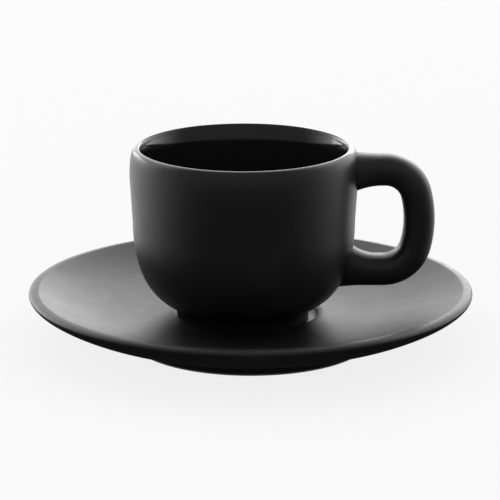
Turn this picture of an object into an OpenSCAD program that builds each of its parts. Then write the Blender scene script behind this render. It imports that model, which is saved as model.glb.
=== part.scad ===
// Espresso cup with saucer, black stoneware.
// Origin: centre of the saucer's foot on the surface it stands on.
// +Z is up and +X is the side that the handle points to. Millimetres.
// The cup stands in the saucer's flat seat, a little off centre, as it was put down.

/* [Saucer] */
// Diameter over the rim
saucer_d = 120; // [112:1:130]
// Height of the lip's crest above the surface the saucer stands on
saucer_h = 15.4; // [14.6:0.1:17]
// How far the lip's crest lies inside the widest edge
saucer_lip_in = 2.3; // [1.6:0.1:3]
// Height from the widest edge up to the crest
saucer_lip_rise = 1.05; // [0.7:0.05:1.4]
// Radius that rounds the lip's crest towards the dish
saucer_lip_r = 1.6; // [1:0.1:2.4]
// Slope of the dish where it meets the lip, in degrees
dish_slope = 20; // [16:1:24]
// Length of the gentle start of the dish next to the seat
dish_start = 17; // [13:0.5:18]
// Length of the steady rise of the dish next to the lip
dish_rise = 16; // [12:0.5:18]
// Diameter of the flat seat under the cup
seat_d = 41; // [39:0.5:44]
// Height of the seat above the surface the saucer stands on
seat_h = 7; // [6.6:0.1:7.6]
// Thickness of the saucer under the seat
base_t = 4; // [3.2:0.1:4.6]
// Outer diameter of the saucer's foot ring
saucer_foot_d = 64.6; // [60:0.2:68]
// Width of the saucer's foot ring
saucer_foot_w = 3.6; // [3:0.1:4.6]
// Height at which the foot ring's outside runs into the underside
saucer_foot_h = 4; // [3.4:0.1:4.4]
// Rounding of the saucer's foot ring
saucer_foot_r = 0.8; // [0.4:0.1:1.2]
// Length of the level start of the underside next to the foot ring
under_start = 11; // [8:0.5:12]
// Height over which the underside turns up to the widest edge
under_turn = 3; // [2.4:0.1:3.6]

/* [Cup] */
// Height from the foot to the lip's crest
cup_h = 47.2; // [44:0.2:52]
// Widest diameter of the bowl, at the shoulder
cup_d = 61.4; // [58:0.2:64]
// How far the lip's crest lies inside the widest wall
lip_in = 2.4; // [1.8:0.1:2.8]
// Height over which the wall rounds over into the lip
lip_rise = 8.1; // [6:0.1:10]
// Depth over which the mouth narrows inside the lip
throat_h = 8; // [6:0.1:10]
// Thickness of the wall at the shoulder
wall_t = 3.8; // [3.4:0.1:4.2]
// Height at which the side turns into the bowl
belly_h = 27; // [25:0.5:29]
// How much narrower the bowl's radius is there than at the shoulder
belly_in = 0.75; // [0:0.05:1.5]
// Height over which the side turns in to the bowl
bowl_turn = 18; // [15:0.5:20]
// Length of the bowl's start next to the foot
bowl_start = 5; // [4:0.5:8]
// Slope of the bowl where it leaves the foot, in degrees
bowl_slope = 22; // [16:1:28]
// Thickness of the floor, from the foot's plane up
floor_t = 5.4; // [4.8:0.1:6.4]
// Radius of the flat middle of the floor
floor_flat = 6; // [3:0.5:9]
// Outer diameter of the cup's foot ring
cup_foot_d = 35.1; // [33:0.1:37]
// Height of the cup's foot ring on the outside
cup_foot_h = 3; // [2.5:0.1:3.4]
// Width of the cup's foot ring
cup_foot_w = 3; // [2.4:0.1:3.8]
// Depth of the recess inside the cup's foot ring
cup_recess = 1.6; // [1.2:0.1:2]
// Rounding of the cup's foot ring
cup_foot_r = 0.6; // [0.3:0.1:0.9]
// How far off the saucer's centre the cup stands, away from the handle's side
cup_shift = 1.8; // [0:0.1:2]

/* [Inner glaze] */
// Thickness of the gloss glaze that lines the cup
glaze_t = 0.35; // [0.25:0.05:0.5]

/* [Handle] */
// Height of the upper run's centre line above the cup's foot
handle_top = 40.9; // [39:0.1:41.6]
// Distance between the centre lines of the upper and the lower run
handle_drop = 27.65; // [26.6:0.05:29.4]
// How far the bar's outer face stands out from the widest wall
handle_reach = 20.6; // [19:0.1:23]
// Thickness of the bar, in the plane of the handle
bar_t = 8.35; // [7:0.05:8.8]
// Depth of the bar, across the plane of the handle
bar_d = 9.7; // [8:0.1:11]
// Centre line radius of the upper corner
upper_r = 8.6; // [7:0.1:10]
// Centre line radius of the lower corner
lower_r = 9.1; // [8:0.1:10.2]
// Turn of each corner, in degrees
corner_turn = 75.6; // [72:0.2:78]
// Squareness of the bar's section: 2 is an ellipse, more is squarer
bar_square = 2.6; // [2.2:0.1:3.6]

/* [Slip joints] */
// How far the slip spreads on the cup's wall beside the bar
slip_side = 0.9; // [0.6:0.1:1.4]
// How far the upper slip spreads on the wall below the bar, in the finger gap
slip_under = 1.3; // [0.8:0.1:1.8]
// How far the lower slip spreads on the wall above the bar, in the finger gap
slip_over = 2.2; // [1:0.1:2.8]
// How far each slip spreads on the wall away from the finger gap
slip_far = 0.4; // [0.3:0.1:0.8]
// How far the slips run out along the bar
slip_l = 6.8; // [4.8:0.2:7.2]
// Thickness at the slip's outer edge
slip_edge = 0.12; // [0.08:0.02:0.2]

/* [Hidden] */

// Steps along each kind of curve, and points round the bar's section
curve_steps = 24;
long_steps = 40;
arc_steps = 6;
section_points = 32;
corner_steps = 11;
back_steps = 6;
slip_steps = 8;
$fn = 240;

// Colours: satin black glaze, and the deeper gloss inside the cup
satin = [0.085, 0.085, 0.09];
gloss = [0.02, 0.02, 0.022];
slip_tone = [0.11, 0.11, 0.115];

// How full the outside of the lip is at its crest and at its side, and the mouth inside it
lip_crown_share = 0.76;
lip_side_share = 0.74;
throat_crown_share = 0.55;
throat_side_share = 0.55;
// How full the inside of the bowl is at its side and over its floor
cavity_side_share = 0.92;
cavity_floor_share = 0.5;
// Where on the throat the gloss glaze starts, and how soon it is full
glaze_start_share = 0.3;
glaze_full_share = 0.12;
// Two points of an outline closer than this, for how far out they lie, count as one
same_point_share = 0.0001;

saucer_r = saucer_d / 2;
saucer_edge_h = saucer_h - saucer_lip_rise;
saucer_crest_r = saucer_r - saucer_lip_in;
seat_r = seat_d / 2;
saucer_foot_out = saucer_foot_d / 2;
saucer_foot_in = saucer_foot_out - saucer_foot_w;
recess_h = seat_h - base_t;

shoulder_r = cup_d / 2;
shoulder_h = cup_h - lip_rise;
crest_r = shoulder_r - lip_in;
belly_r = shoulder_r - belly_in;
throat_r = shoulder_r - wall_t;
throat_z = cup_h - throat_h;
cavity_r = throat_r - belly_in;
cup_foot_out = cup_foot_d / 2;
cup_foot_in = cup_foot_out - cup_foot_w;

// Point at length l from p in the direction a
function step_from(p, l, a) = p + l * [cos(a), sin(a)];

// Cubic curve through p0 and p3, pulled towards p1 and p2
function curve(p0, p1, p2, p3, steps) = [
    for (i = [0:steps])
        let (t = i / steps, s = 1 - t)
            s * s * s * p0 + 3 * s * s * t * p1 + 3 * s * t * t * p2 + t * t * t * p3
];

// Elliptical arc round c with half axes r[0] and r[1], from angle a0 to a1
function arc(c, r, a0, a1, steps) = [
    for (i = [0:steps])
        let (a = a0 + (a1 - a0) * i / steps)
            c + [r[0] * cos(a), r[1] * sin(a)]
];

// Outline without the points that repeat the one before them
function tidy(points) = [
    for (i = [0:len(points) - 1])
        if (i == 0 || norm(points[i] - points[max(i - 1, 0)]) > same_point_share * norm(points[i]))
            points[i]
];

// Direction square to the outline at point i, to the left of its run
function left_of(points, i) =
    let (
        a = points[max(i - 1, 0)],
        b = points[min(i + 1, len(points) - 1)],
        d = (b - a) / norm(b - a)
    ) [-d[1], d[0]];

// Section of a foot ring between two radii, from its outside to its inside
function foot_ring(outer, inner, r) = concat(
    arc([outer - r, r], [r, r], 0, -90, arc_steps),
    arc([inner + r, r], [r, r], -90, -180, arc_steps)
);

// Upper side of the saucer, from the middle of the seat to the widest edge
saucer_crest = [saucer_crest_r, saucer_h];
saucer_lip_c = saucer_crest - [0, saucer_lip_r];
dish_end = step_from(saucer_lip_c, saucer_lip_r, 90 + dish_slope);
saucer_top = concat(
    [[0, seat_h]],
    curve(
        [seat_r, seat_h], [seat_r + dish_start, seat_h],
        step_from(dish_end, dish_rise, 180 + dish_slope), dish_end, long_steps
    ),
    arc(saucer_lip_c, [saucer_lip_r, saucer_lip_r], 90 + dish_slope, 90, arc_steps),
    arc([saucer_crest_r, saucer_edge_h], [saucer_lip_in, saucer_lip_rise], 90, 0, 2 * arc_steps)
);
// Underside of the saucer, from the widest edge to the middle of the recess
saucer_under = concat(
    curve(
        [saucer_r, saucer_edge_h], [saucer_r, saucer_edge_h - under_turn],
        [saucer_foot_out + under_start, saucer_foot_h], [saucer_foot_out, saucer_foot_h], long_steps
    ),
    foot_ring(saucer_foot_out, saucer_foot_in, saucer_foot_r),
    [[saucer_foot_in, recess_h], [0, recess_h]]
);

// Outside of the cup, from the foot's outer edge to the lip's crest
cup_start = [cup_foot_out, cup_foot_h];
cup_side = concat(
    curve(
        cup_start, step_from(cup_start, bowl_start, bowl_slope),
        [belly_r, belly_h - bowl_turn], [belly_r, belly_h], long_steps
    ),
    curve(
        [shoulder_r, shoulder_h], [shoulder_r, shoulder_h + lip_side_share * lip_rise],
        [crest_r + lip_crown_share * lip_in, cup_h], [crest_r, cup_h], curve_steps
    )
);
// Inside of the lip, from its crest down the throat
cup_throat = curve(
    [crest_r, cup_h], [crest_r - throat_crown_share * (crest_r - throat_r), cup_h],
    [throat_r, throat_z + throat_side_share * throat_h], [throat_r, throat_z], curve_steps
);
// Inside of the bowl, from the belly to the middle of the floor
cavity_drop = belly_h - floor_t;
cup_cavity = concat(
    curve(
        [cavity_r, belly_h], [cavity_r, belly_h - cavity_side_share * cavity_drop],
        [floor_flat + cavity_floor_share * (cavity_r - floor_flat), floor_t], [floor_flat, floor_t],
        long_steps
    ),
    [[0, floor_t]]
);

// The gloss glaze follows the inside from a little below the crest, and thins out to nothing there
glaze_first = round(glaze_start_share * curve_steps);
glaze_back = tidy(concat(
    [for (i = [glaze_first:curve_steps]) cup_throat[i]],
    cup_cavity
));
glaze_count = len(glaze_back);
glaze_face = [
    for (i = [1:glaze_count - 1])
        let (full = min(1, i / (glaze_full_share * glaze_count)))
            glaze_back[i] - glaze_t * full * left_of(glaze_back, i)
];

// Wall radius at each height, read where the bar's runs meet the cup
wall_table = [for (p = cup_side) [p[1], p[0]]];

// The handle's centre line: a level run, a corner, a long back, a corner and a level run
bar_out = shoulder_r + handle_reach - bar_t / 2;
back_r = (handle_drop - (upper_r + lower_r) * (1 - cos(corner_turn))) / (2 * cos(corner_turn));
back_turn = 90 - corner_turn;
back_x = bar_out - back_r;
upper_end_x = back_x + (back_r - upper_r) * cos(back_turn);
lower_end_x = back_x + (back_r - lower_r) * cos(back_turn);
handle_low = handle_top - handle_drop;
upper_c = [upper_end_x, handle_top - upper_r];
back_c = [back_x, upper_c[1] - (back_r - upper_r) * sin(back_turn)];
lower_c = [lower_end_x, handle_low + lower_r];
upper_root_x = lookup(handle_top, wall_table);
lower_root_x = lookup(handle_low, wall_table);

// How far inside the wall the bar's runs start, before the wall's own outside trims them.
// The wall slopes at the lower run, so there it is read at the underside of the slip.
root_in = wall_t / 2;
lower_low_x = lookup(handle_low - bar_t / 2 - slip_far, wall_table);
lower_root_in = lower_root_x - lower_low_x + root_in;

// Where the wall lies along X, at y off the handle's plane and height z
function wall_x(y, z) =
    let (r = lookup(z, wall_table)) sqrt(r * r - y * y);

// Superellipse with half axes a along X and b along Y
function section(a, b) = [
    for (i = [0:section_points - 1])
        let (w = 360 * i / section_points, c = cos(w), s = sin(w))
            [
                a * sign(c) * pow(abs(c), 2 / bar_square),
                b * sign(s) * pow(abs(s), 2 / bar_square)
            ]
];

// Solid between rings of points, all with the same count, closed at each end round its middle
module loft(rings) {
    count = len(rings[0]);
    last = len(rings) - 1;
    middle = count * len(rings);
    even_shares = [for (i = [1:count]) 1 / count];
    polyhedron(
        points = concat(
            [for (ring = rings) each ring],
            [even_shares * rings[0], even_shares * rings[last]]
        ),
        faces = concat(
            [for (i = [0:count - 1]) [middle, i, (i + 1) % count]],
            [
                for (k = [0:last - 1], i = [0:count - 1])
                    let (a = k * count + i, b = k * count + (i + 1) % count)
                        each [[a, b + count, b], [a, a + count, b + count]]
            ],
            [for (i = [0:count - 1]) [middle + 1, last * count + (i + 1) % count, last * count + i]]
        ),
        convexity = 4
    );
}

// One ring of the bar: its section at radius r from centre c, at angle a from +X towards +Z
function bar_ring(c, r, a) = [
    for (p = section(bar_t / 2, bar_d / 2))
        [c[0] + (r + p[0]) * cos(a), p[1], c[1] + (r + p[0]) * sin(a)]
];

// Rings of a bend round centre c, between two angles
function bend_rings(c, r, a0, a1, steps) = [
    for (i = [0:steps]) bar_ring(c, r, a0 + (a1 - a0) * i / steps)
];

// The whole bar, with its ends still inside the wall
module bar() {
    loft(concat(
        [bar_ring([lower_root_x - lower_root_in, handle_low], 0, -90)],
        bend_rings(lower_c, lower_r, -90, -back_turn, corner_steps),
        [for (i = [1:back_steps - 1]) bar_ring(back_c, back_r, back_turn * (2 * i / back_steps - 1))],
        bend_rings(upper_c, upper_r, back_turn, 90, corner_steps),
        [bar_ring([upper_root_x - root_in, handle_top], 0, 90)]
    ));
}

// Straight stretch of the bar along X at height z, which the slip fits round
module bar_run(x0, x1, z) {
    translate([x0, 0, z])
        rotate([90, 0, 90])
            linear_extrude(x1 - x0)
                polygon(section(bar_d / 2, bar_t / 2));
}

// The cup's outside as one solid, which trims what is joined to it
module cup_outside() {
    rotate_extrude()
        polygon(tidy(concat([[0, cup_foot_h]], cup_side, [[0, cup_h]])));
}

// How thick the slip is where it spreads by w on the wall, when that share of it is left
function slip_t(w, left_share) = slip_edge + (w - slip_edge) * left_share * left_share;

// Slip that was pressed out and smoothed round a root at height z, spread above and below the bar.
// Its rings follow the wall, so that it closes all the way round where the wall slopes.
module slip_cone(z, above, below) {
    length = root_in + slip_l;
    loft([
        for (k = [0:slip_steps])
            let (
                out = length * k / slip_steps - root_in,
                left_share = min(1, (slip_l - out) / slip_l),
                high = slip_t(above, left_share),
                low = slip_t(below, left_share)
            )
                [
                    for (p = section(bar_d / 2 + slip_t(slip_side, left_share), (bar_t + high + low) / 2))
                        let (up = z + p[1] + (high - low) / 2)
                            [wall_x(p[0], up) + out, p[0], up]
                ]
    ]);
}

// Places what belongs to the cup where it stands in the saucer
module on_seat() {
    translate([-cup_shift, 0, seat_h]) children();
}

module saucer() {
    color(satin)
        rotate_extrude()
            polygon(tidy(concat(saucer_top, saucer_under)));
}

module cup_body() {
    color(satin)
        on_seat()
            rotate_extrude()
                polygon(tidy(concat(
                    [[0, cup_recess], [cup_foot_in, cup_recess]],
                    [for (p = foot_ring(-cup_foot_in, -cup_foot_out, cup_foot_r)) [-p[0], p[1]]],
                    cup_side, cup_throat, cup_cavity
                )));
}

module inner_glaze() {
    color(gloss)
        on_seat()
            rotate_extrude()
                polygon(concat(glaze_back, [for (i = [glaze_count - 2:-1:0]) glaze_face[i]]));
}

module handle() {
    color(satin)
        on_seat()
            difference() {
                bar();
                cup_outside();
            }
}

module upper_handle_slip() {
    color(slip_tone)
        on_seat()
            difference() {
                slip_cone(handle_top, slip_far, slip_under);
                bar_run(upper_root_x - wall_t, upper_end_x, handle_top);
                cup_outside();
            }
}

module lower_handle_slip() {
    color(slip_tone)
        on_seat()
            difference() {
                slip_cone(handle_low, slip_over, slip_far);
                bar_run(lower_root_x - 2 * lower_root_in, lower_end_x, handle_low);
                cup_outside();
            }
}

saucer();
cup_body();
inner_glaze();
handle();
upper_handle_slip();
lower_handle_slip();
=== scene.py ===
"""Espresso cup with saucer in black stoneware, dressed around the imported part.

The cup, its lining and the saucer are turned, and the handle is drawn along a path, by Geometry
Nodes. The slip at the handle's roots is built ring by ring on the cup's wall.
"""

import math

import bpy
from bpy.props import FloatProperty, FloatVectorProperty, IntProperty, PointerProperty
from mathutils import Matrix, Vector


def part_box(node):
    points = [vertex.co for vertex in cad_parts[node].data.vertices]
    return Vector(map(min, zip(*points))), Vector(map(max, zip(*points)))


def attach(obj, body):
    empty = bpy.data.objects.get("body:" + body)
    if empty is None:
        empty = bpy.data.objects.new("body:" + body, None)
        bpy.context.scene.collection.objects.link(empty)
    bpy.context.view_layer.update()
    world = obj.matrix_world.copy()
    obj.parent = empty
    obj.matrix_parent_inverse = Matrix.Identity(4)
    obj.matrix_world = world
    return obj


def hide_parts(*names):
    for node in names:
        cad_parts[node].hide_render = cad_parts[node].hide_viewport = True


bl_info = {
    "name": "Espresso Cup with Saucer",
    "version": (1, 0, 0),
    "blender": (4, 5, 0),
    "location": "View3D > Sidebar > Espresso",
    "description": "Builds a black stoneware espresso cup with its saucer",
    "category": "Object",
}

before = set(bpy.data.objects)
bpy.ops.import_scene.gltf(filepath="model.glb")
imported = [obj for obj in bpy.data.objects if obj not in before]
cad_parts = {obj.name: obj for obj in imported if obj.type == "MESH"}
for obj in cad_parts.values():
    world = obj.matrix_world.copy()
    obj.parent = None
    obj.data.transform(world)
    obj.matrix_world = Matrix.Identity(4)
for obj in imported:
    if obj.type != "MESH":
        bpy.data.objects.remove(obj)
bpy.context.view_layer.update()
SAUCER_LOW, SAUCER_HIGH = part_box("saucer")
CUP_LOW, CUP_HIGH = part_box("cup_body")

MM = 0.001


# Settings: the sizes, colours and finishes that a user may change


def length(name, description, default):
    """A size in metres."""
    return FloatProperty(
        name=name, description=description, default=default, min=0.0, unit="LENGTH", precision=4
    )


def angle(name, description, degrees):
    """An angle, given in degrees."""
    return FloatProperty(
        name=name, description=description, default=math.radians(degrees), unit="ROTATION"
    )


def number(name, description, default):
    """A plain number."""
    return FloatProperty(name=name, description=description, default=default)


def lamp_power(name, description, default):
    """The power of a lamp, in watts."""
    return FloatProperty(name=name, description=description, default=default, unit="POWER")


def tint(name, description, default):
    """A colour."""
    return FloatVectorProperty(
        name=name, description=description, default=default,
        min=0.0, max=1.0, subtype="COLOR", size=3,
    )


class SaucerSizes(bpy.types.PropertyGroup):
    """Sizes of the saucer."""

    diameter: length("Diameter", "Across the rim", SAUCER_HIGH.x - SAUCER_LOW.x)
    height: length("Height", "From the table to the lip's crest", SAUCER_HIGH.z)
    lip_in: length("Lip Inset", "How far the crest lies inside the widest edge", 2.3 * MM)
    lip_rise: length("Lip Rise", "From the widest edge up to the crest", 1.05 * MM)
    lip_round: length("Lip Rounding", "Radius from the crest towards the dish", 1.6 * MM)
    dish_slope: angle("Dish Slope", "Slope of the dish at the lip", 20)
    dish_start: length("Dish Start", "Gentle start of the dish at the seat", 17 * MM)
    dish_rise: length("Dish Rise", "Steady rise of the dish at the lip", 16 * MM)
    seat: length("Seat Diameter", "Flat middle under the cup", 41 * MM)
    seat_height: length("Seat Height", "From the table to the seat", 7 * MM)
    well: length("Well", "How far the dish is raised round the well of the cup", 1.5 * MM)
    well_radius: length("Well Radius", "Where the edge of the well starts", 18.25 * MM)
    well_edge: length("Well Edge", "Width of the well's rounded edge", 1.1 * MM)
    well_fade: length("Well Fade", "Radius from which the dish is raised less", 32 * MM)
    well_end: length("Well End", "Radius at which the dish is no longer raised", 55 * MM)
    well_shift: length("Well Shift", "How far the well lies off the saucer's middle", 0.75 * MM)
    base: length("Base Thickness", "Thickness under the seat", 4 * MM)
    foot: length("Foot Diameter", "Across the foot ring", 64.6 * MM)
    foot_width: length("Foot Width", "Width of the foot ring", 3.6 * MM)
    foot_height: length("Foot Height", "Where the ring runs into the underside", 4 * MM)
    foot_round: length("Foot Rounding", "Rounding of the foot ring", 0.8 * MM)
    under_start: length("Underside Start", "Level start of the underside", 11 * MM)
    under_turn: length("Underside Turn", "Height over which it turns up to the edge", 3 * MM)


class CupSizes(bpy.types.PropertyGroup):
    """Sizes of the cup and its lining."""

    height: length("Height", "From the foot to the lip's crest", CUP_HIGH.z - CUP_LOW.z)
    diameter: length("Diameter", "Widest, at the shoulder", 61.4 * MM)
    lip_in: length("Lip Inset", "How far the crest lies inside the widest wall", 2.4 * MM)
    lip_rise: length("Lip Rise", "Height over which the wall rounds into the lip", 8.1 * MM)
    throat: length("Throat", "Depth over which the mouth narrows", 8 * MM)
    wall: length("Wall", "Thickness at the shoulder", 3.8 * MM)
    belly_height: length("Belly Height", "Where the side turns into the bowl", 27 * MM)
    belly_in: length("Belly Inset", "How much narrower the radius is there", 0.75 * MM)
    bowl_turn: length("Bowl Turn", "Height over which the side turns in", 18 * MM)
    bowl_start: length("Bowl Start", "Start of the bowl at the foot", 5 * MM)
    bowl_slope: angle("Bowl Slope", "Slope of the bowl at the foot", 22)
    floor: length("Floor", "Thickness of the floor, from the foot's plane", 5.4 * MM)
    floor_flat: length("Flat Floor", "Radius of the flat middle of the floor", 6 * MM)
    foot: length("Foot Diameter", "Across the foot ring", 35.1 * MM)
    foot_height: length("Foot Height", "Outside height of the foot ring", 3 * MM)
    foot_width: length("Foot Width", "Width of the foot ring", 3 * MM)
    foot_round: length("Foot Rounding", "Rounding of the foot ring", 0.6 * MM)
    recess: length("Recess", "Depth inside the foot ring", 1.6 * MM)
    shift: length("Shift", "How far the cup stands off the saucer's middle", 1.8 * MM)
    glaze: length("Lining", "Thickness of the gloss glaze", 0.35 * MM)


class HandleSizes(bpy.types.PropertyGroup):
    """Sizes of the handle and the slip at its roots."""

    top: length("Top", "Upper run's centre line above the cup's foot", 40.9 * MM)
    drop: length("Drop", "Between the centre lines of the runs", 27.65 * MM)
    reach: length("Reach", "Outer face out from the widest wall", 20.6 * MM)
    thickness: length("Thickness", "In the plane of the handle", 8.35 * MM)
    depth: length("Depth", "Across the plane of the handle", 9.7 * MM)
    upper_corner: length("Upper Corner", "Centre line radius", 8.6 * MM)
    lower_corner: length("Lower Corner", "Centre line radius", 9.1 * MM)
    turn: angle("Corner Turn", "Turn of each corner", 75.6)
    square: number("Squareness", "2 is an ellipse, more is squarer", 2.6)
    slip_side: length("Slip Beside", "Spread of the slip on the wall beside the bar", 0.9 * MM)
    slip_under: length("Slip Under", "Spread of the upper slip below the bar", 1.3 * MM)
    slip_over: length("Slip Over", "Spread of the lower slip above the bar", 2.2 * MM)
    slip_far: length("Slip Far", "Spread of each slip away from the finger gap", 0.4 * MM)
    slip_length: length("Slip Length", "How far the slips run out along the bar", 6.8 * MM)


class GlazeLook(bpy.types.PropertyGroup):
    """Colours and finish of the glazes and of the bare clay."""

    satin: tint("Satin Glaze", "Colour outside and on the saucer", (0.006, 0.006, 0.0064))
    thin: tint("Thin Glaze", "Colour where a glaze runs thin", (0.013, 0.0123, 0.012))
    gloss: tint("Gloss Glaze", "Colour inside the cup", (0.008, 0.008, 0.0083))
    clay: tint("Bare Clay", "Colour of the unglazed foot rings", (0.035, 0.031, 0.028))
    satin_roughness: number("Satin Roughness", "Of the satin glaze", 0.4)
    gloss_roughness: number("Gloss Roughness", "Of the gloss glaze", 0.1)
    clay_roughness: number("Clay Roughness", "Of the bare clay", 0.85)


class StageLook(bpy.types.PropertyGroup):
    """Floor, card, tent and lamps, and the fineness of the turned pieces."""

    floor: tint("Floor", "Colour of the floor", (0.8, 0.8, 0.8))
    floor_glow: number("Floor Glow", "Share of plain white in the floor where it is seen", 0.84)
    # The card's glow in front is painted shade, seen by reflections alone.
    card: number("Card Glow", "Glow of the card in front, seen by reflections alone", 0.02)
    # The tent's glows are painted reflections: painted shade in front and overhead, painted light
    # behind.
    tent_dark: number("Tent Dark", "Glow of the tent in front and overhead", 0.28)
    tent_middle: number("Tent Middle", "Glow of the tent behind at middle height", 1.5)
    tent_low: number("Tent Low", "Glow of the tent behind, low down", 1.9)
    left_power: lamp_power("Left Lamp", "Power of the lamp behind on the left", 2)
    right_power: lamp_power("Right Lamp", "Power of the lamp behind on the right", 1.7)
    turns: IntProperty(name="Turned Steps", description="Steps round a turned piece", default=256)


# Outlines: half sections as points of radius and height

LONG_STEPS = 64  # along a long curve
CURVE_STEPS = 32  # along a short curve
ARC_STEPS = 10  # along a small rounding or a straight part
STRAIGHT_STEPS = 8  # along each straight run of the handle
SAME_POINT = 1e-6  # points nearer than this are one
TINY = 1e-9  # the least that a height is divided by

# How far the curves are pulled, as shares of the height or width that they cross
LIP_UP, LIP_OUT = 0.74, 0.76
THROAT_PULL = 0.55
CAVITY_DOWN, CAVITY_IN = 0.92, 0.5

# Shares of the throat that the lining leaves free and of its length over which it thickens
LINING_START, LINING_FEATHER = 0.3, 0.12


def direction(turn):
    """A step of length 1, turned from the radius towards the height."""
    return Vector((math.cos(turn), math.sin(turn)))


def bezier(a, b, c, d, steps):
    """Points of a cubic curve through a and d, pulled towards b and c."""
    a, b, c, d = (Vector(p) for p in (a, b, c, d))
    points = []
    for i in range(steps + 1):
        t = i / steps
        s = 1 - t
        points.append(a * s**3 + 3 * b * s * s * t + 3 * c * s * t * t + d * t**3)
    return points


def arc(centre, half_x, half_z, start, end, steps):
    """Points of an elliptical arc, angles in degrees."""
    points = []
    for i in range(steps + 1):
        a = math.radians(start + (end - start) * i / steps)
        points.append(Vector((centre[0] + half_x * math.cos(a), centre[1] + half_z * math.sin(a))))
    return points


def level(radius, height):
    """Points of a level line, from inside a radius to the middle."""
    return [Vector((radius * (1 - i / ARC_STEPS), height)) for i in range(1, ARC_STEPS + 1)]


def without_repeats(points):
    """The outline without points that lie on the one before them."""
    kept = [points[0]]
    for p in points[1:]:
        if (p - kept[-1]).length > SAME_POINT:
            kept.append(p)
    return kept


def outwards(points):
    """The half section, run in the direction in which the turned faces point outwards."""
    area = sum(a.x * b.y - b.x * a.y for a, b in zip(points, points[1:] + points[:1]))
    return points if area < 0 else points[::-1]


def foot_outline(outer, inner, r):
    """Section of a foot ring, from its outside to its inside."""
    outside = arc((outer - r, r), r, r, 0, -90, ARC_STEPS)
    return outside + arc((inner + r, r), r, r, -90, -180, ARC_STEPS)


def soft_step(low, high, value):
    """0 below low and 1 above high, with a soft step between them."""
    share = min(max((value - low) / (high - low), 0.0), 1.0)
    return share * share * (3 - 2 * share)


def well_rise(s, radius):
    """How much the dish is raised round the well in which the cup stands."""
    edge = soft_step(s.well_radius, s.well_radius + s.well_edge, radius)
    return s.well * edge * (1 - soft_step(s.well_fade, s.well_end, radius))


def saucer_outline(s):
    """Half section of the saucer, from the middle of the seat to the middle of the recess."""
    rim = s.diameter / 2
    edge = s.height - s.lip_rise
    crest = rim - s.lip_in
    lip = Vector((crest, s.height - s.lip_round))
    slope = math.degrees(s.dish_slope)
    dish_end = lip + s.lip_round * direction(math.radians(90 + slope))
    seat = s.seat / 2
    foot = s.foot / 2
    inner = foot - s.foot_width
    recess = s.seat_height - s.base
    dish = bezier(
        (seat, s.seat_height),
        (seat + s.dish_start, s.seat_height),
        dish_end + s.dish_rise * direction(math.radians(180 + slope)),
        dish_end,
        LONG_STEPS,
    )
    inside = [s.well_radius * i / CURVE_STEPS for i in range(CURVE_STEPS)]
    inside += [s.well_radius + s.well_edge * i / ARC_STEPS for i in range(ARC_STEPS)]
    middle = [Vector((x, s.seat_height)) for x in inside]
    top = middle + [p for p in dish if p.x > s.well_radius + s.well_edge]
    points = [Vector((p.x, p.y + well_rise(s, p.x))) for p in top]
    points += arc(lip, s.lip_round, s.lip_round, 90 + slope, 90, ARC_STEPS)
    points += arc((crest, edge), s.lip_in, s.lip_rise, 90, 0, 2 * ARC_STEPS)
    points += bezier(
        (rim, edge),
        (rim, edge - s.under_turn),
        (foot + s.under_start, s.foot_height),
        (foot, s.foot_height),
        LONG_STEPS,
    )
    points += foot_outline(foot, inner, s.foot_round)
    return without_repeats(points + [Vector((inner, recess))] + level(inner, recess))


def cup_outside(c):
    """Outside of the cup, from the foot's edge to the lip's crest."""
    foot = Vector((c.foot / 2, c.foot_height))
    shoulder, belly = c.diameter / 2, c.diameter / 2 - c.belly_in
    crest = shoulder - c.lip_in
    shoulder_height = c.height - c.lip_rise
    points = bezier(
        foot,
        foot + c.bowl_start * direction(c.bowl_slope),
        (belly, c.belly_height - c.bowl_turn),
        (belly, c.belly_height),
        LONG_STEPS,
    )
    points += bezier(
        (shoulder, shoulder_height),
        (shoulder, shoulder_height + LIP_UP * c.lip_rise),
        (crest + LIP_OUT * c.lip_in, c.height),
        (crest, c.height),
        CURVE_STEPS,
    )
    return points


def cup_throat(c):
    """Inside of the lip, from its crest down."""
    crest = c.diameter / 2 - c.lip_in
    throat = c.diameter / 2 - c.wall
    low = c.height - c.throat
    return bezier(
        (crest, c.height),
        (crest - THROAT_PULL * (crest - throat), c.height),
        (throat, low + THROAT_PULL * c.throat),
        (throat, low),
        CURVE_STEPS,
    )


def cup_cavity(c):
    """Inside of the bowl, from the belly to the middle of the floor."""
    side = c.diameter / 2 - c.wall - c.belly_in
    drop = c.belly_height - c.floor
    points = bezier(
        (side, c.belly_height),
        (side, c.belly_height - CAVITY_DOWN * drop),
        (c.floor_flat + CAVITY_IN * (side - c.floor_flat), c.floor),
        (c.floor_flat, c.floor),
        LONG_STEPS,
    )
    return points + level(c.floor_flat, c.floor)


def cup_outline(c):
    """Half section of the cup, from the middle of its recess to the middle of its floor."""
    foot = c.foot / 2
    inner = foot - c.foot_width
    points = [Vector((inner * i / ARC_STEPS, c.recess)) for i in range(ARC_STEPS + 1)]
    points += reversed(foot_outline(foot, inner, c.foot_round))
    return without_repeats(points + cup_outside(c) + cup_throat(c) + cup_cavity(c))


def lining_outline(c):
    """Half section of the gloss glaze, from its thin edge down the wall and back up its face."""
    throat = cup_throat(c)[round(LINING_START * CURVE_STEPS):]
    back = without_repeats(throat + cup_cavity(c))
    last = len(back) - 1
    face = []
    for i in range(1, last + 1):
        run = (back[min(i + 1, last)] - back[i - 1]).normalized()
        full = min(1.0, i / (LINING_FEATHER * last))
        inwards = Vector((run.y, -run.x))
        face.append(back[i] + c.glaze * full * inwards)
    face[-1].x = 0
    return back + face[::-1]


def wall_radius(c, z):
    """Radius of the cup's outside at a height above its foot."""
    side = cup_outside(c)
    for low, high in zip(side, side[1:]):
        if low.y <= z <= high.y:
            return low.x + (high.x - low.x) * (z - low.y) / max(high.y - low.y, TINY)
    return side[0].x if z < side[0].y else side[-1].x


def wall_x(c, y, z):
    """Where the cup's outside lies along X."""
    return math.sqrt(max(wall_radius(c, z) ** 2 - y * y, 0))


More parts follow.
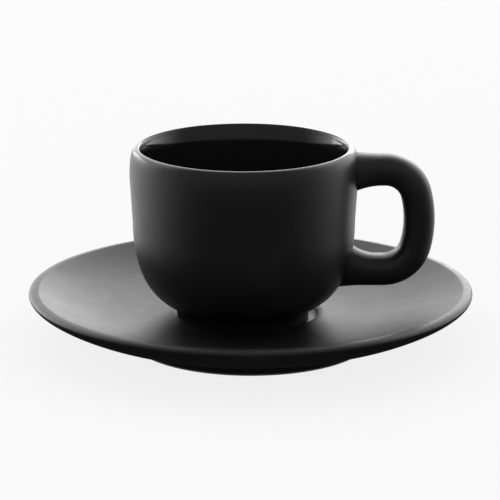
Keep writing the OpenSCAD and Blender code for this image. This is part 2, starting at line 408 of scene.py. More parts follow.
def handle_path(c, h):
    """Centre line of the handle from its lower root to its upper root, in the cup's own frame.

    Two level runs turn through a corner each into one wide arc, the back, that joins them.
    """
    out = c.diameter / 2 + h.reach - h.thickness / 2
    low = h.top - h.drop
    corners = (h.upper_corner + h.lower_corner) * (1 - math.cos(h.turn))
    back_r = (h.drop - corners) / (2 * math.cos(h.turn))
    rest = math.pi / 2 - h.turn
    back_x = out - back_r
    upper_x = back_x + (back_r - h.upper_corner) * math.cos(rest)
    lower_x = back_x + (back_r - h.lower_corner) * math.cos(rest)
    turn = math.degrees(rest)
    upper = (upper_x, h.top - h.upper_corner)
    lower = (lower_x, low + h.lower_corner)
    back = (back_x, upper[1] - (back_r - h.upper_corner) * math.sin(rest))
    upper_root, lower_root = wall_radius(c, h.top), wall_radius(c, low)
    sunk = c.wall / 2
    lower_from = wall_x(c, 0, low + h.thickness / 2) + sunk
    upper_from = upper_root + sunk
    shares = [i / STRAIGHT_STEPS for i in range(STRAIGHT_STEPS + 1)]
    points = [Vector((lower_root - sunk, low))]
    points += [Vector((lower_from + (lower_x - lower_from) * k, low)) for k in shares[:-1]]
    points += arc(lower, h.lower_corner, h.lower_corner, -90, -turn, 3 * ARC_STEPS)
    points += arc(back, back_r, back_r, -turn, turn, 2 * ARC_STEPS)[1:-1]
    points += arc(upper, h.upper_corner, h.upper_corner, turn, 90, 3 * ARC_STEPS)
    points += [Vector((upper_x + (upper_from - upper_x) * k, h.top)) for k in shares[1:]]
    points += [Vector((upper_root - sunk, h.top))]
    return points


def superellipse(half_y, half_z, square, count):
    """Points of the bar's section."""
    points = []
    for i in range(count):
        w = 2 * math.pi * i / count
        c, s = math.cos(w), math.sin(w)
        across = math.copysign(half_y * abs(c) ** (2 / square), c)
        up = math.copysign(half_z * abs(s) ** (2 / square), s)
        points.append(Vector((across, up)))
    return points


# Node trees

FLOAT, INT, VECTOR = "NodeSocketFloat", "NodeSocketInt", "NodeSocketVector"
COLOR, MATERIAL, GEOMETRY = "NodeSocketColor", "NodeSocketMaterial", "NodeSocketGeometry"
WHITE = (1, 1, 1, 1)
MERGE_DISTANCE = 1e-7  # joins the seam and the poles of a turned body
UNEVEN_FADE = 1.0 * MM  # height over which the unevenness of a turned body sets in
SECTION_POINTS = 96  # round the handle's bar and its slips


class Tree:
    """Adds nodes to a node tree and links them."""

    def __init__(self, tree):
        self.tree = tree

    def add(self, kind, inputs=None, **values):
        """A node of that kind. Inputs are values or the sockets that feed them."""
        node = self.tree.nodes.new(kind)
        for key, value in values.items():
            setattr(node, key, value)
        for key, value in (inputs or {}).items():
            if isinstance(value, bpy.types.NodeSocket):
                self.tree.links.new(value, node.inputs[key])
            else:
                node.inputs[key].default_value = value
        return node

    def math(self, operation, *values, use_clamp=False):
        """The result of a sum on values or sockets."""
        inputs = dict(enumerate(values))
        kind = "ShaderNodeMath"
        return self.add(kind, inputs, operation=operation, use_clamp=use_clamp).outputs[0]

    def ramp(self, value, low, high, start=0.0, end=1.0):
        """A soft step from start to end while the value goes from low to high."""
        inputs = {
            "Value": value, "From Min": low, "From Max": high, "To Min": start, "To Max": end
        }
        kind = "ShaderNodeMapRange"
        return self.add(kind, inputs, interpolation_type="SMOOTHSTEP").outputs[0]

    def mix_values(self, mask, low, high):
        """One value where the mask is 0 and another where it is 1."""
        return self.add("ShaderNodeMix", {0: mask, 2: low, 3: high}, data_type="FLOAT").outputs[0]

    def mix_colours(self, mask, low, high):
        """One colour where the mask is 0 and another where it is 1."""
        low, high = (
            c if isinstance(c, bpy.types.NodeSocket) else (*c, 1) for c in (low, high)
        )
        return self.add("ShaderNodeMix", {0: mask, 6: low, 7: high}, data_type="RGBA").outputs[2]

    def split(self, vector):
        """The three parts of a vector."""
        return self.add("ShaderNodeSeparateXYZ", {0: vector}).outputs

    def joined(self, x, y, z=0.0):
        """A vector from its three parts."""
        return self.add("ShaderNodeCombineXYZ", {0: x, 1: y, 2: z}).outputs[0]

    def shape(self, kind, geometry, **inputs):
        """The geometry after one more step."""
        return self.add(kind, {"Geometry": geometry, **inputs}).outputs[0]

    def object_place(self):
        """Object coordinates."""
        return self.add("ShaderNodeTexCoord").outputs["Object"]


def node_group(name, kind, outputs, inputs, fill):
    """The named group, built once: fill adds its nodes and returns what it puts out."""
    if name in bpy.data.node_groups:
        return bpy.data.node_groups[name]
    tree = bpy.data.node_groups.new(name, kind)
    for title, socket in outputs:
        tree.interface.new_socket(name=title, in_out="OUTPUT", socket_type=socket)
    for title, socket, *default in inputs:
        made = tree.interface.new_socket(name=title, in_out="INPUT", socket_type=socket)
        if default:
            made.default_value = default[0]
    t = Tree(tree)
    t.add("NodeGroupOutput", fill(t, t.add("NodeGroupInput").outputs))
    return tree


def finished(t, geometry, glaze_socket):
    """The geometry with smooth faces, without instances and with its glaze."""
    geometry = t.shape("GeometryNodeSetShadeSmooth", geometry)
    geometry = t.shape("GeometryNodeRealizeInstances", geometry)
    return t.shape("GeometryNodeSetMaterial", geometry, Material=glaze_socket)


def turning_tree():
    """Geometry Nodes that turn an outline, given as a line of points, into a closed body."""
    inputs = (
        ("Outline", GEOMETRY),
        ("Steps", INT, 256),
        ("Unevenness", FLOAT, 0.0),
        ("Unevenness Scale", FLOAT, 30.0),
        ("Steady Below", FLOAT, 0.0),
        ("Seed", FLOAT, 0.0),
        ("Glaze", MATERIAL),
    )
    kind = "GeometryNodeTree"
    return node_group("Turned Body", kind, [("Geometry", GEOMETRY)], inputs, turned_body)


def turned_body(t, given):
    """A grid with one row for each point of the outline, wrapped round the axis and uneven."""
    sizes = t.add("GeometryNodeAttributeDomainSize", {"Geometry": given["Outline"]}).outputs
    rows = sizes["Point Count"]
    across = t.math("ADD", given["Steps"], 1)
    grid = t.add(
        "GeometryNodeMeshGrid", {"Size X": 1, "Size Y": 1, "Vertices X": rows, "Vertices Y": across}
    )
    index = t.add("GeometryNodeInputIndex").outputs[0]
    row = t.math("FLOOR", t.math("DIVIDE", t.math("ADD", index, 0.5), across))
    column = t.math("SUBTRACT", index, t.math("MULTIPLY", row, across))
    turn = t.math("DIVIDE", t.math("MULTIPLY", column, 2 * math.pi), given["Steps"])
    place = t.add("GeometryNodeInputPosition").outputs[0]
    taken = t.add(
        "GeometryNodeSampleIndex",
        {"Geometry": given["Outline"], "Value": place, "Index": row},
        data_type="FLOAT_VECTOR",
        domain="POINT",
    )
    parts = t.split(taken.outputs[0])
    turned = t.joined(
        t.math("MULTIPLY", parts[0], t.math("COSINE", turn)),
        t.math("MULTIPLY", parts[0], t.math("SINE", turn)),
        parts[2],
    )
    body = t.shape("GeometryNodeSetPosition", grid.outputs["Mesh"], Position=turned)
    body = t.shape("GeometryNodeMergeByDistance", body, Distance=MERGE_DISTANCE)
    noise = t.add(
        "ShaderNodeTexNoise",
        {"Vector": place, "W": given["Seed"], "Scale": given["Unevenness Scale"], "Detail": 1.0},
        noise_dimensions="4D",
    )
    normal = t.add("GeometryNodeInputNormal").outputs[0]
    above = t.math("SUBTRACT", t.split(place)[2], given["Steady Below"])
    free = t.math("DIVIDE", above, UNEVEN_FADE, use_clamp=True)
    depth = t.math("MULTIPLY", t.math("MULTIPLY", noise.outputs[0], given["Unevenness"]), free)
    sunk = {0: normal, "Scale": t.math("MULTIPLY", depth, -1)}
    inwards = t.add("ShaderNodeVectorMath", sunk, operation="SCALE").outputs[0]
    body = t.shape("GeometryNodeSetPosition", body, Offset=inwards)
    return {"Geometry": finished(t, body, given["Glaze"])}


def bar_tree():
    """Geometry Nodes that draw a rounded square bar along a path."""
    inputs = (
        ("Path", GEOMETRY),
        ("Depth", FLOAT, 9.7 * MM),
        ("Thickness", FLOAT, 8.35 * MM),
        ("Squareness", FLOAT, 2.6),
        ("Section Points", INT, SECTION_POINTS),
        ("Glaze", MATERIAL),
    )
    kind = "GeometryNodeTree"
    return node_group("Bar Along Path", kind, [("Geometry", GEOMETRY)], inputs, squared_bar)


def squared_bar(t, given):
    """A circle, squared into the bar's section and drawn along the path."""
    path = t.add("GeometryNodeMeshToCurve", {"Mesh": given["Path"]}).outputs[0]
    circle = t.add(
        "GeometryNodeCurvePrimitiveCircle", {"Resolution": given["Section Points"], "Radius": 1.0}
    )
    place = t.split(t.add("GeometryNodeInputPosition").outputs[0])
    power = t.math("DIVIDE", 2.0, given["Squareness"])
    squared = []
    for axis, size in ((0, given["Depth"]), (1, given["Thickness"])):
        share = t.math("POWER", t.math("ABSOLUTE", place[axis]), power)
        signed = t.math("MULTIPLY", share, t.math("SIGN", place[axis]))
        squared.append(t.math("MULTIPLY", signed, t.math("MULTIPLY", size, 0.5)))
    section = t.shape(
        "GeometryNodeSetPosition", circle.outputs["Curve"], Position=t.joined(*squared)
    )
    drawn = {"Curve": path, "Profile Curve": section, "Fill Caps": True}
    bar = t.add("GeometryNodeCurveToMesh", drawn).outputs[0]
    return {"Geometry": finished(t, bar, given["Glaze"])}


# Making pieces


def placed(name, data):
    """An object in the scene for a mesh, a lamp or a camera."""
    made = bpy.data.objects.new(name, data)
    bpy.context.scene.collection.objects.link(made)
    return made


def mesh_of(name, vertices, edges, faces):
    """A mesh made of vertices, and of edges or faces."""
    mesh = bpy.data.meshes.new(name)
    mesh.from_pydata(vertices, edges, faces)
    return mesh


def volume_of(mesh):
    """Signed volume, which is negative where the faces point inwards."""
    mesh.calc_loop_triangles()
    total = 0.0
    for tri in mesh.loop_triangles:
        a, b, c = (mesh.vertices[i].co for i in tri.vertices)
        total += a.dot(b.cross(c)) / 6
    return total


def grown(name, points, tree, inputs, place=Matrix.Identity(4)):
    """The plain mesh that the tree grows from a line of points, put in its place."""
    line = [(i, i + 1) for i in range(len(points) - 1)]
    source = placed(name + "_line", mesh_of(name, [(p.x, 0, p.y) for p in points], line, []))
    modifier = source.modifiers.new("Shape", "NODES")
    modifier.node_group = tree
    sockets = {s.name: s.identifier for s in tree.interface.items_tree if s.in_out == "INPUT"}
    for key, value in inputs.items():
        modifier[sockets[key]] = value
    evaluated = source.evaluated_get(bpy.context.evaluated_depsgraph_get())
    mesh = bpy.data.meshes.new_from_object(evaluated)
    mesh.name = name
    source.modifiers.remove(modifier)
    bpy.data.objects.remove(source)
    mesh.transform(place)
    if volume_of(mesh) < 0:
        mesh.flip_normals()
    return placed(name, mesh)


def turned(name, outline, skin, uneven, place=Matrix.Identity(4)):
    """A closed body turned from its half section, with the unevenness that uneven gives."""
    inputs = {"Steps": bpy.context.scene.stage_look.turns, **uneven, "Glaze": skin}
    return grown(name, outwards(outline), turning_tree(), inputs, place)


def seated(piece, body, slot, *nodes):
    """Ties a finished piece to its body and hides the nodes that it stands for; the slot is not
    used.
    """
    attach(piece, body)
    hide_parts(*nodes)


def cup_place(scene):
    """Where the cup stands in the saucer."""
    return Matrix.Translation((-scene.cup_sizes.shift, 0, scene.saucer_sizes.seat_height))


# Glazes

GLAZE_IOR = 1.5
BUMP_DISTANCE = 0.02 * MM
SLIP_ROUGHER = 0.04  # how much rougher the slip is than the satin glaze

# Scale, detail and roughness of the noise
DRIFT, CLOUD, PEEL = (55.0, 4.0, 0.6), (260.0, 3.0, 0.55), (900.0, 2.0, 0.5)
THIN_FROM, THIN_MOST = (0.48, 0.75), 0.55  # drift at which the glaze thins, and how much

# A pit lies in the middle of a few cells, deep inside the first distance and gone past the second
PIT_SCALE, PIT_RIM, PIT_CHANCE = 520.0, (0.04, 0.13), (0.86, 0.9)
PIT_THIN, PIT_ROUGHER = 0.8, 0.2

# Where glaze ends, it wanders with the noise and gives way over twice the blur
LINE_SCALE, LINE_DETAIL, LINE_BLUR = 400.0, 3.0, 0.05 * MM
SAUCER_CLAY, CUP_CLAY = 0.35 * MM, 0.3 * MM  # height of the bare clay on each foot
GLOSS_OVER = 0.8 * MM  # how far the gloss glaze runs down outside the lip


def glaze_group():
    """Colour, roughness and normal of a fired glaze: drifts, fine orange peel and rare pits."""
    outputs = (("Color", COLOR), ("Roughness", FLOAT), ("Normal", VECTOR))
    inputs = (
        ("Glaze Color", COLOR, (0.01, 0.01, 0.01, 1)),
        ("Thin Color", COLOR, (0.02, 0.02, 0.02, 1)),
        ("Base Roughness", FLOAT, 0.3),
        ("Roughness Drift", FLOAT, 0.05),
        ("Peel Depth", FLOAT, 0.5),
        ("Pit Depth", FLOAT, 0.5),
    )
    return node_group("Fired Glaze", "ShaderNodeTree", outputs, inputs, fired_glaze)


def fired_glaze(t, given):
    """Slow drift and clouds for tone and gloss, peel and pits for the surface."""
    at = t.object_place()

    def noise(scale, detail, roughness):
        """Noise on Object coordinates."""
        inputs = {"Vector": at, "Scale": scale, "Detail": detail, "Roughness": roughness}
        return t.add("ShaderNodeTexNoise", inputs).outputs[0]

    drift, cloud, peel = noise(*DRIFT), noise(*CLOUD), noise(*PEEL)
    cells = t.add("ShaderNodeTexVoronoi", {"Vector": at, "Scale": PIT_SCALE, "Randomness": 1.0})
    pit = t.ramp(cells.outputs["Distance"], *PIT_RIM, 1.0, 0.0)
    chance = t.add("ShaderNodeSeparateColor", {0: cells.outputs["Color"]}).outputs[0]
    few, many = PIT_CHANCE
    rare = t.add("ShaderNodeMapRange", {"Value": chance, "From Min": few, "From Max": many})
    pit = t.math("MULTIPLY", pit, rare.outputs[0])
    thin = t.ramp(drift, *THIN_FROM, 0.0, THIN_MOST)
    thin = t.math("MAXIMUM", thin, t.math("MULTIPLY", pit, PIT_THIN))
    swing = t.math("SUBTRACT", t.math("ADD", drift, cloud), 1.0)
    drifting = t.math("MULTIPLY", swing, given["Roughness Drift"])
    rough = t.math("ADD", given["Base Roughness"], drifting)
    height = t.math(
        "SUBTRACT",
        t.math("MULTIPLY", peel, given["Peel Depth"]),
        t.math("MULTIPLY", pit, given["Pit Depth"]),
    )
    bump = t.add(
        "ShaderNodeBump", {"Strength": 1.0, "Distance": BUMP_DISTANCE, "Height": height}
    )
    return {
        "Color": t.mix_colours(thin, given["Glaze Color"], given["Thin Color"]),
        "Roughness": t.math("ADD", rough, t.math("MULTIPLY", pit, PIT_ROUGHER)),
        "Normal": bump.outputs[0],
    }


def line_group():
    """Mask of what lies below a height, with the ragged edge that glaze has where it ends."""
    inputs = (("Height", FLOAT, 0.0), ("Ragged", FLOAT, 0.15 * MM))
    return node_group("Glaze Line", "ShaderNodeTree", [("Mask", FLOAT)], inputs, ragged_line)


def ragged_line(t, given):
    """The height, moved up and down by noise, and a short soft step across it."""
    at = t.object_place()
    inputs = {"Vector": at, "Scale": LINE_SCALE, "Detail": LINE_DETAIL}
    noise = t.add("ShaderNodeTexNoise", inputs).outputs[0]
    shift = t.math("MULTIPLY", t.math("SUBTRACT", noise, 0.5), given["Ragged"])
    over = t.math("SUBTRACT", t.math("ADD", t.split(at)[2], shift), given["Height"])
    return {"Mask": t.ramp(over, -LINE_BLUR, LINE_BLUR, 1.0, 0.0)}


def glaze(name, colour, roughness, drift, peel, pits, bare_below=None, gloss_above=None):
    """A glaze material: bare clay below one height, gloss glaze above another."""
    if name in bpy.data.materials:
        return bpy.data.materials[name]
    material = bpy.data.materials.new(name)
    material.use_nodes = True
    look = bpy.context.scene.glaze_look
    t = Tree(material.node_tree)
    shader = material.node_tree.nodes["Principled BSDF"]
    shader.inputs["IOR"].default_value = GLAZE_IOR
    inputs = {
        "Glaze Color": (*colour, 1),
        "Thin Color": (*look.thin, 1),
        "Base Roughness": roughness,
        "Roughness Drift": drift,
        "Peel Depth": peel,
        "Pit Depth": pits,
    }
    skin = t.add("ShaderNodeGroup", inputs, node_tree=glaze_group()).outputs

    def below(height):
        """Mask of what lies below a height."""
        return t.add("ShaderNodeGroup", {"Height": height}, node_tree=line_group()).outputs[0]

    colour_out, rough_out = skin["Color"], skin["Roughness"]
    if gloss_above is not None:
        satin = below(gloss_above)
        colour_out = t.mix_colours(satin, look.gloss, colour_out)
        rough_out = t.mix_values(satin, look.gloss_roughness, rough_out)
    if bare_below is not None:
        bare = below(bare_below)
        colour_out = t.mix_colours(bare, colour_out, look.clay)
        rough_out = t.mix_values(bare, rough_out, look.clay_roughness)
    for key, value in (
        ("Base Color", colour_out), ("Roughness", rough_out), ("Normal", skin["Normal"])
    ):
        material.node_tree.links.new(value, shader.inputs[key])
    return material


# The pieces


def shift_well(mesh, s):
    """Moves the top of the saucer so that the well lies off its middle, under the cup."""
    underside = s.seat_height - s.base / 2
    for vertex in mesh.vertices:
        if vertex.co.z > underside:
            away = vertex.co.xy.length
            vertex.co.x -= s.well_shift * (1 - soft_step(s.well_fade, s.well_end, away))


class BuildSaucer(bpy.types.Operator):
    """Turns the saucer with its foot ring."""

    bl_idname = "espresso.saucer"
    bl_label = "Saucer"

    def execute(self, context):
        sizes, look = context.scene.saucer_sizes, context.scene.glaze_look
        skin = glaze(
            "SaucerGlaze", look.satin, look.satin_roughness,
            drift=0.09, peel=1.0, pits=1.0, bare_below=SAUCER_CLAY,
        )
        uneven = {
            "Unevenness": 0.12 * MM, "Unevenness Scale": 45.0, "Steady Below": 1.2 * MM, "Seed": 3.0
        }
        piece = turned("saucer_turned", saucer_outline(sizes), skin, uneven)
        shift_well(piece.data, sizes)
        seated(piece, "saucer", "saucer_glaze", "saucer")
        return {"FINISHED"}


class BuildCup(bpy.types.Operator):
    """Turns the cup with its lip and foot ring."""

    bl_idname = "espresso.cup"
    bl_label = "Cup"

    def execute(self, context):
        scene = context.scene
        sizes, look = scene.cup_sizes, scene.glaze_look
        seat = scene.saucer_sizes.seat_height
        lip = seat + sizes.height
        skin = glaze(
            "CupGlaze", look.satin, look.satin_roughness,
            drift=0.07, peel=0.9, pits=0.8,
            bare_below=seat + CUP_CLAY, gloss_above=lip - GLOSS_OVER,
        )
        uneven = {
            "Unevenness": 0.08 * MM, "Unevenness Scale": 60.0, "Steady Below": 1.2 * MM, "Seed": 7.0
        }
        piece = turned("cup_turned", cup_outline(sizes), skin, uneven, cup_place(scene))
        seated(piece, "cup", "cup_glaze", "cup_body")
        return {"FINISHED"}


class BuildLining(bpy.types.Operator):
    """Lines the cup with gloss glaze."""

    bl_idname = "espresso.lining"
    bl_label = "Gloss Lining"

    def execute(self, context):
        scene = context.scene
        look = scene.glaze_look
        skin = glaze(
            "LiningGlaze", look.gloss, look.gloss_roughness, drift=0.03, peel=0.5, pits=0.0
        )
        outline = lining_outline(scene.cup_sizes)
        even = {"Unevenness": 0.0, "Seed": 0.0}
        piece = turned("gloss_lining", outline, skin, even, cup_place(scene))
        seated(piece, "cup", "gloss_glaze", "inner_glaze")
        return {"FINISHED"}


class BuildHandle(bpy.types.Operator):
    """Draws the handle's bar along its path and sinks its ends into the wall."""

    bl_idname = "espresso.handle"
    bl_label = "Handle"

    def execute(self, context):
        scene = context.scene
        cup, handle, look = scene.cup_sizes, scene.handle_sizes, scene.glaze_look
        skin = glaze(
            "HandleGlaze", look.satin, look.satin_roughness, drift=0.07, peel=0.9, pits=0.8
        )
        inputs = {
            "Depth": handle.depth,
            "Thickness": handle.thickness,
            "Squareness": handle.square,
            "Section Points": SECTION_POINTS,
            "Glaze": skin,
        }
        piece = grown("handle_bar", handle_path(cup, handle), bar_tree(), inputs)
        points = piece.data.vertices
        last = len(points) - SECTION_POINTS
        for ring in (range(SECTION_POINTS), range(last, len(points))):
            for i in ring:
                p = points[i].co
                p.x = wall_x(cup, p.y, p.z) - cup.wall / 2
        piece.data.transform(cup_place(scene))
        seated(piece, "cup", "handle_glaze", "handle")
        return {"FINISHED"}


class BuildSlips(bpy.types.Operator):
    """Builds the slip round the handle's two roots, ring by ring on the wall."""

    bl_idname = "espresso.slips"
    bl_label = "Handle Slips"

    rings = 28  # along each slip
    sunk = 1.0 * MM  # into the wall
    under = 0.5 * MM  # into the bar
    feather = 0.02 * MM  # how far the thin end dips into the bar

    def execute(self, context):
        scene = context.scene
        handle, look = scene.handle_sizes, scene.glaze_look
        skin = glaze(
            "SlipGlaze", look.satin, look.satin_roughness + SLIP_ROUGHER,
            drift=0.09, peel=1.0, pits=1.0,
        )
        low = handle.top - handle.drop
        for name, height, above, below, node in (
            ("upper_slip", handle.top, handle.slip_far, handle.slip_under, "upper_handle_slip"),
            ("lower_slip", low, handle.slip_over, handle.slip_far, "lower_handle_slip"),
        ):
            piece = self.collar(name, scene.cup_sizes, handle, height, above, below)
            piece.data.materials.append(skin)
            piece.data.transform(cup_place(scene))
            seated(piece, "cup", "slip_glaze", node)
        return {"FINISHED"}

    def collar(self, name, cup, handle, height, above, below):
        """A closed ring whose section is thick at the wall and runs out thinly along the bar."""
        outer = []
        for k in range(self.rings + 1):
            share = (1 - k / self.rings) ** 2
            spreads = [
                spread * share - self.feather for spread in (handle.slip_side, above, below)
            ]
            outer.append((handle.slip_length * k / self.rings, spreads))
        inner = [-self.under] * 3
        profile = [(-self.sunk, outer[0][1])] + outer
        profile += [(handle.slip_length - self.under, inner), (-self.sunk, inner)]
        vertices, faces = [], []
        for along, (side, high, low) in profile:
            half_y = handle.depth / 2 + side
            half_z = (handle.thickness + high + low) / 2
            middle = height + (high - low) / 2
            for p in superellipse(half_y, half_z, handle.square, SECTION_POINTS):
                z = middle + p.y
                vertices.append((wall_x(cup, p.x, z) + along, p.x, z))
        for r in range(len(profile)):
            a, b = r * SECTION_POINTS, (r + 1) % len(profile) * SECTION_POINTS
            for i in range(SECTION_POINTS):
                j = (i + 1) % SECTION_POINTS
                faces.append((a + i, a + j, b + j, b + i))
        mesh = mesh_of(name, vertices, [], faces)
        if volume_of(mesh) < 0:
            mesh.flip_normals()
        for face in mesh.polygons:
            face.use_smooth = True
        return placed(name, mesh)


# The stage. The glaze mirrors the card and the tent, which nothing else sees, so their glow is
# painted reflection.

FLOOR_HALF = 6.0
CARD_NEAR, CARD_FAR, CARD_HEIGHT, CARD_STEPS = 32.5 * MM, 1.3, 0.3 * MM, 64
TENT_RADIUS, TENT_ROUND, TENT_UP = 1.6, 96, 24

# Where the glow changes. Behind is 1 straight behind the object and -1 straight in front of it,
# away is in metres and high is a share of the tent's height.
# On the card, painted shade in front and a painted shadow under and near the saucer give way to
# painted light behind.
CARD_BEHIND, CARD_AWAY = (-0.85, 0.6), (0.05, 0.15)
# CARD_LEAN makes the card's painted light brighter on the left.
CARD_MIDDLE, CARD_LEAN = 1.25, -0.25  # the card's glow behind, and its change to the right
# On the tent, painted light behind and low gives way to painted shade in front and overhead.
TENT_BEHIND, TENT_HIGH, TENT_LOW = (-0.3, 0.65), (0.65, 0.95), (0.3, 0.55)

LAMP_TARGET = (0, 0, 0.03)
LAMPS = (  # name, place, width, height and the setting that gives the power
    ("stage_lamp_left", (-0.8, 0.9, 0.3), 0.8, 0.4, "left_power"),
    ("stage_lamp_right", (0.28, 1.25, 0.3), 0.46, 0.36, "right_power"),
)
WORLD_LIGHT, WORLD_SEEN = 0.85, 1.0

SENSOR_WIDTH, FOCAL_LENGTH, NEAREST = 36.0, 205.6, 0.05
CAMERA_PLACE = (-0.000167, -0.74374, 0.22741)
CAMERA_TILT = 15.186  # degrees below the level


def soft_lamp(name, place, width, tall, power):
    """A large soft lamp that looks at the object."""
    lamp = bpy.data.lights.new(name, "AREA")
    lamp.shape = "RECTANGLE"
    lamp.size, lamp.size_y, lamp.energy = width, tall, power
    made = placed(name, lamp)
    made.location = place
    look = Vector(LAMP_TARGET) - Vector(place)
    made.rotation_euler = look.to_track_quat("-Z", "Y").to_euler()
    made.visible_camera = False


def ring_points(radius, height, steps):
    """Points of a level circle, from the front round to the right."""
    turns = (math.tau * i / steps for i in range(steps))
    return [(radius * math.sin(a), -radius * math.cos(a), height) for a in turns]


def ring_card():
    """Faces of a ring of card on the floor round the object."""
    inner, outer = (ring_points(r, CARD_HEIGHT, CARD_STEPS) for r in (CARD_NEAR, CARD_FAR))
    vertices = [point for pair in zip(inner, outer) for point in pair]
    faces = []
    for i in range(CARD_STEPS):
        k, after = 2 * i, 2 * ((i + 1) % CARD_STEPS)
        faces.append((k, after, after + 1, k + 1))
    return vertices, faces


def half_ball():
    """Faces of a tent over the object: half a ball, open at the floor."""
    vertices, faces = [], []
    for k in range(TENT_UP):
        rise = math.pi / 2 * k / TENT_UP
        out, up = TENT_RADIUS * math.cos(rise), TENT_RADIUS * math.sin(rise)
        vertices += ring_points(out, up, TENT_ROUND)
    top = len(vertices) - TENT_ROUND
    vertices.append((0, 0, TENT_RADIUS))
    for low in range(0, top, TENT_ROUND):
        for i in range(TENT_ROUND):
            a, b = low + i, low + (i + 1) % TENT_ROUND
            faces.append((a, a + TENT_ROUND, b + TENT_ROUND, b))
    faces += [(top + i, len(vertices) - 1, top + (i + 1) % TENT_ROUND) for i in range(TENT_ROUND)]
    return vertices, faces


def glowing(name, strength_of):
    """A stage material that only glows, as strong as strength_of makes it at each place."""
    made = bpy.data.materials.new(name)
    made.use_nodes = True
    made.node_tree.nodes.clear()
    t = Tree(made.node_tree)
    x, y, z = t.split(t.object_place())
    away = t.math("SQRT", t.math("ADD", t.math("MULTIPLY", x, x), t.math("MULTIPLY", y, y)))
    at = {
        "aside": t.math("DIVIDE", x, away),
        "behind": t.math("DIVIDE", y, away),
        "away": away,
        "height": z,
    }
    glow = t.add("ShaderNodeEmission", {"Color": WHITE, "Strength": strength_of(t, at)})
    t.add("ShaderNodeOutputMaterial", {"Surface": glow.outputs[0]})
    return made


def card_painted_reflection(t, at):
    """Painted shade in front, a painted shadow under the saucer and painted light behind, most on
    the left.
    """
    share = t.math("MULTIPLY", t.ramp(at["behind"], *CARD_BEHIND), t.ramp(at["away"], *CARD_AWAY))
    lean = t.math("ADD", CARD_MIDDLE, t.math("MULTIPLY", at["aside"], CARD_LEAN))
    return t.math("ADD", bpy.context.scene.stage_look.card, t.math("MULTIPLY", share, lean))


def tent_painted_reflection(t, at):
    """Painted light behind, up to middle height, and painted shade in front and overhead."""
    look = bpy.context.scene.stage_look
    high = t.math("DIVIDE", at["height"], TENT_RADIUS)
    middle = t.ramp(high, *TENT_HIGH, look.tent_middle, 0.0)
    low = t.ramp(high, *TENT_LOW, look.tent_low - look.tent_middle, 0.0)
    bright = t.math("ADD", middle, low)
    share = t.math("MULTIPLY", t.ramp(at["behind"], *TENT_BEHIND), bright)
    return t.math("ADD", look.tent_dark, share)


def stage_piece(name, shape, paint):
    """A stage object made of vertices and faces, with its material."""
    vertices, faces = shape
    made = placed(name, mesh_of(name, vertices, [], faces))
    made.data.materials.append(paint)
    return made


def seen_ray(t):
    """1 for what the camera sees, straight, in a reflection or through glass."""
    path = t.add("ShaderNodeLightPath").outputs
    seen = t.math("MAXIMUM", path["Is Camera Ray"], path["Is Glossy Ray"])
    return t.math("MAXIMUM", seen, path["Is Transmission Ray"])


def floor_paint():
    """The floor's material: matt, and partly plain white where it is seen."""
    look = bpy.context.scene.stage_look
    paint = bpy.data.materials.new("StageFloor")
    paint.use_nodes = True
    tree = paint.node_tree
    shader = tree.nodes["Principled BSDF"]
    shader.inputs["Base Color"].default_value = (*look.floor, 1)
    shader.inputs["Roughness"].default_value = 1.0
    shader.inputs["Specular IOR Level"].default_value = 0.0
    t = Tree(tree)
    glow = t.add("ShaderNodeEmission", {"Color": WHITE, "Strength": 1.0})
    share = t.math("MULTIPLY", seen_ray(t), look.floor_glow)
    mix = t.add("ShaderNodeMixShader", {0: share, 1: shader.outputs[0], 2: glow.outputs[0]})
    tree.links.new(mix.outputs[0], tree.nodes["Material Output"].inputs["Surface"])
    return paint


def studio_world():
    """An even white world, at a plain level for the light and plain white where it is seen."""
    world = bpy.data.worlds.new("StageWorld")
    world.use_nodes = True
    t = Tree(world.node_tree)
    back = world.node_tree.nodes["Background"]
    back.inputs["Color"].default_value = WHITE
    levels = {"Value": seen_ray(t), "To Min": WORLD_LIGHT, "To Max": WORLD_SEEN}
    strength = t.add("ShaderNodeMapRange", levels).outputs[0]
    world.node_tree.links.new(strength, back.inputs["Strength"])
    return world


def photo_camera():
    """The camera at the photograph's viewing angle."""
    lens = bpy.data.cameras.new("stage_camera")
    lens.sensor_width, lens.lens, lens.clip_start = SENSOR_WIDTH, FOCAL_LENGTH, NEAREST
    camera = placed("stage_camera", lens)
    camera.location = CAMERA_PLACE
    camera.rotation_euler = (math.radians(90 - CAMERA_TILT), 0, 0)
    return camera


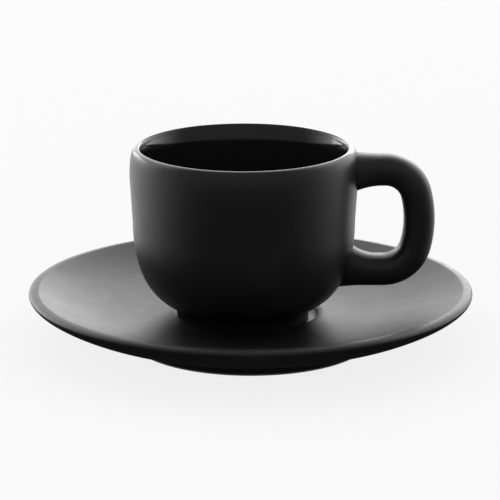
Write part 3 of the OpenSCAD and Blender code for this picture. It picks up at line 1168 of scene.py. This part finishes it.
class BuildStage(bpy.types.Operator):
    """Sets the pale floor, the painted reflections in the glaze, the soft lamps and the camera."""

    bl_idname = "espresso.stage"
    bl_label = "Stage"

    def execute(self, context):
        scene = context.scene
        h = FLOOR_HALF
        sheet = [(-h, -h, 0), (h, -h, 0), (h, h, 0), (-h, h, 0)], [(0, 1, 2, 3)]
        floor = stage_piece("stage_floor", sheet, floor_paint())
        card = stage_piece("stage_card", ring_card(), glowing("StageCard", card_painted_reflection))
        tent = stage_piece("stage_tent", half_ball(), glowing("StageTent", tent_painted_reflection))
        # Only reflections see the card and the tent: their glow is painted reflection.
        for made in (card, tent):
            made.visible_camera = made.visible_diffuse = made.visible_shadow = False
        for name, place, width, tall, power in LAMPS:
            soft_lamp(name, place, width, tall, getattr(scene.stage_look, power))
        scene.world = studio_world()
        scene.camera = photo_camera()
        scene.view_settings.view_transform = "Standard"
        return {"FINISHED"}


OPERATORS = (BuildSaucer, BuildCup, BuildLining, BuildHandle, BuildSlips, BuildStage)
SETTINGS = {
    "saucer_sizes": SaucerSizes,
    "cup_sizes": CupSizes,
    "handle_sizes": HandleSizes,
    "glaze_look": GlazeLook,
    "stage_look": StageLook,
}


class EspressoPanel(bpy.types.Panel):
    """Lists the steps that build the cup and saucer."""

    bl_idname = "VIEW3D_PT_espresso"
    bl_label = "Espresso Cup"
    bl_space_type = "VIEW_3D"
    bl_region_type = "UI"
    bl_category = "Espresso"

    def draw(self, context):
        for step in OPERATORS:
            self.layout.operator(step.bl_idname)


CLASSES = (*SETTINGS.values(), *OPERATORS, EspressoPanel)


def register():
    """Makes the classes and their settings known."""
    for made in CLASSES:
        bpy.utils.register_class(made)
    for name, group in SETTINGS.items():
        setattr(bpy.types.Scene, name, PointerProperty(type=group))


def unregister():
    """Takes the classes and their settings out again."""
    for name in SETTINGS:
        delattr(bpy.types.Scene, name)
    for made in reversed(CLASSES):
        bpy.utils.unregister_class(made)


def main():
    """Builds every piece and the stage."""
    register()
    for step in OPERATORS:
        area, name = step.bl_idname.split(".")
        if getattr(getattr(bpy.ops, area), name)() != {"FINISHED"}:
            raise RuntimeError(f"{step.bl_label} wasn't finished")


if __name__ == "__main__":
    main()
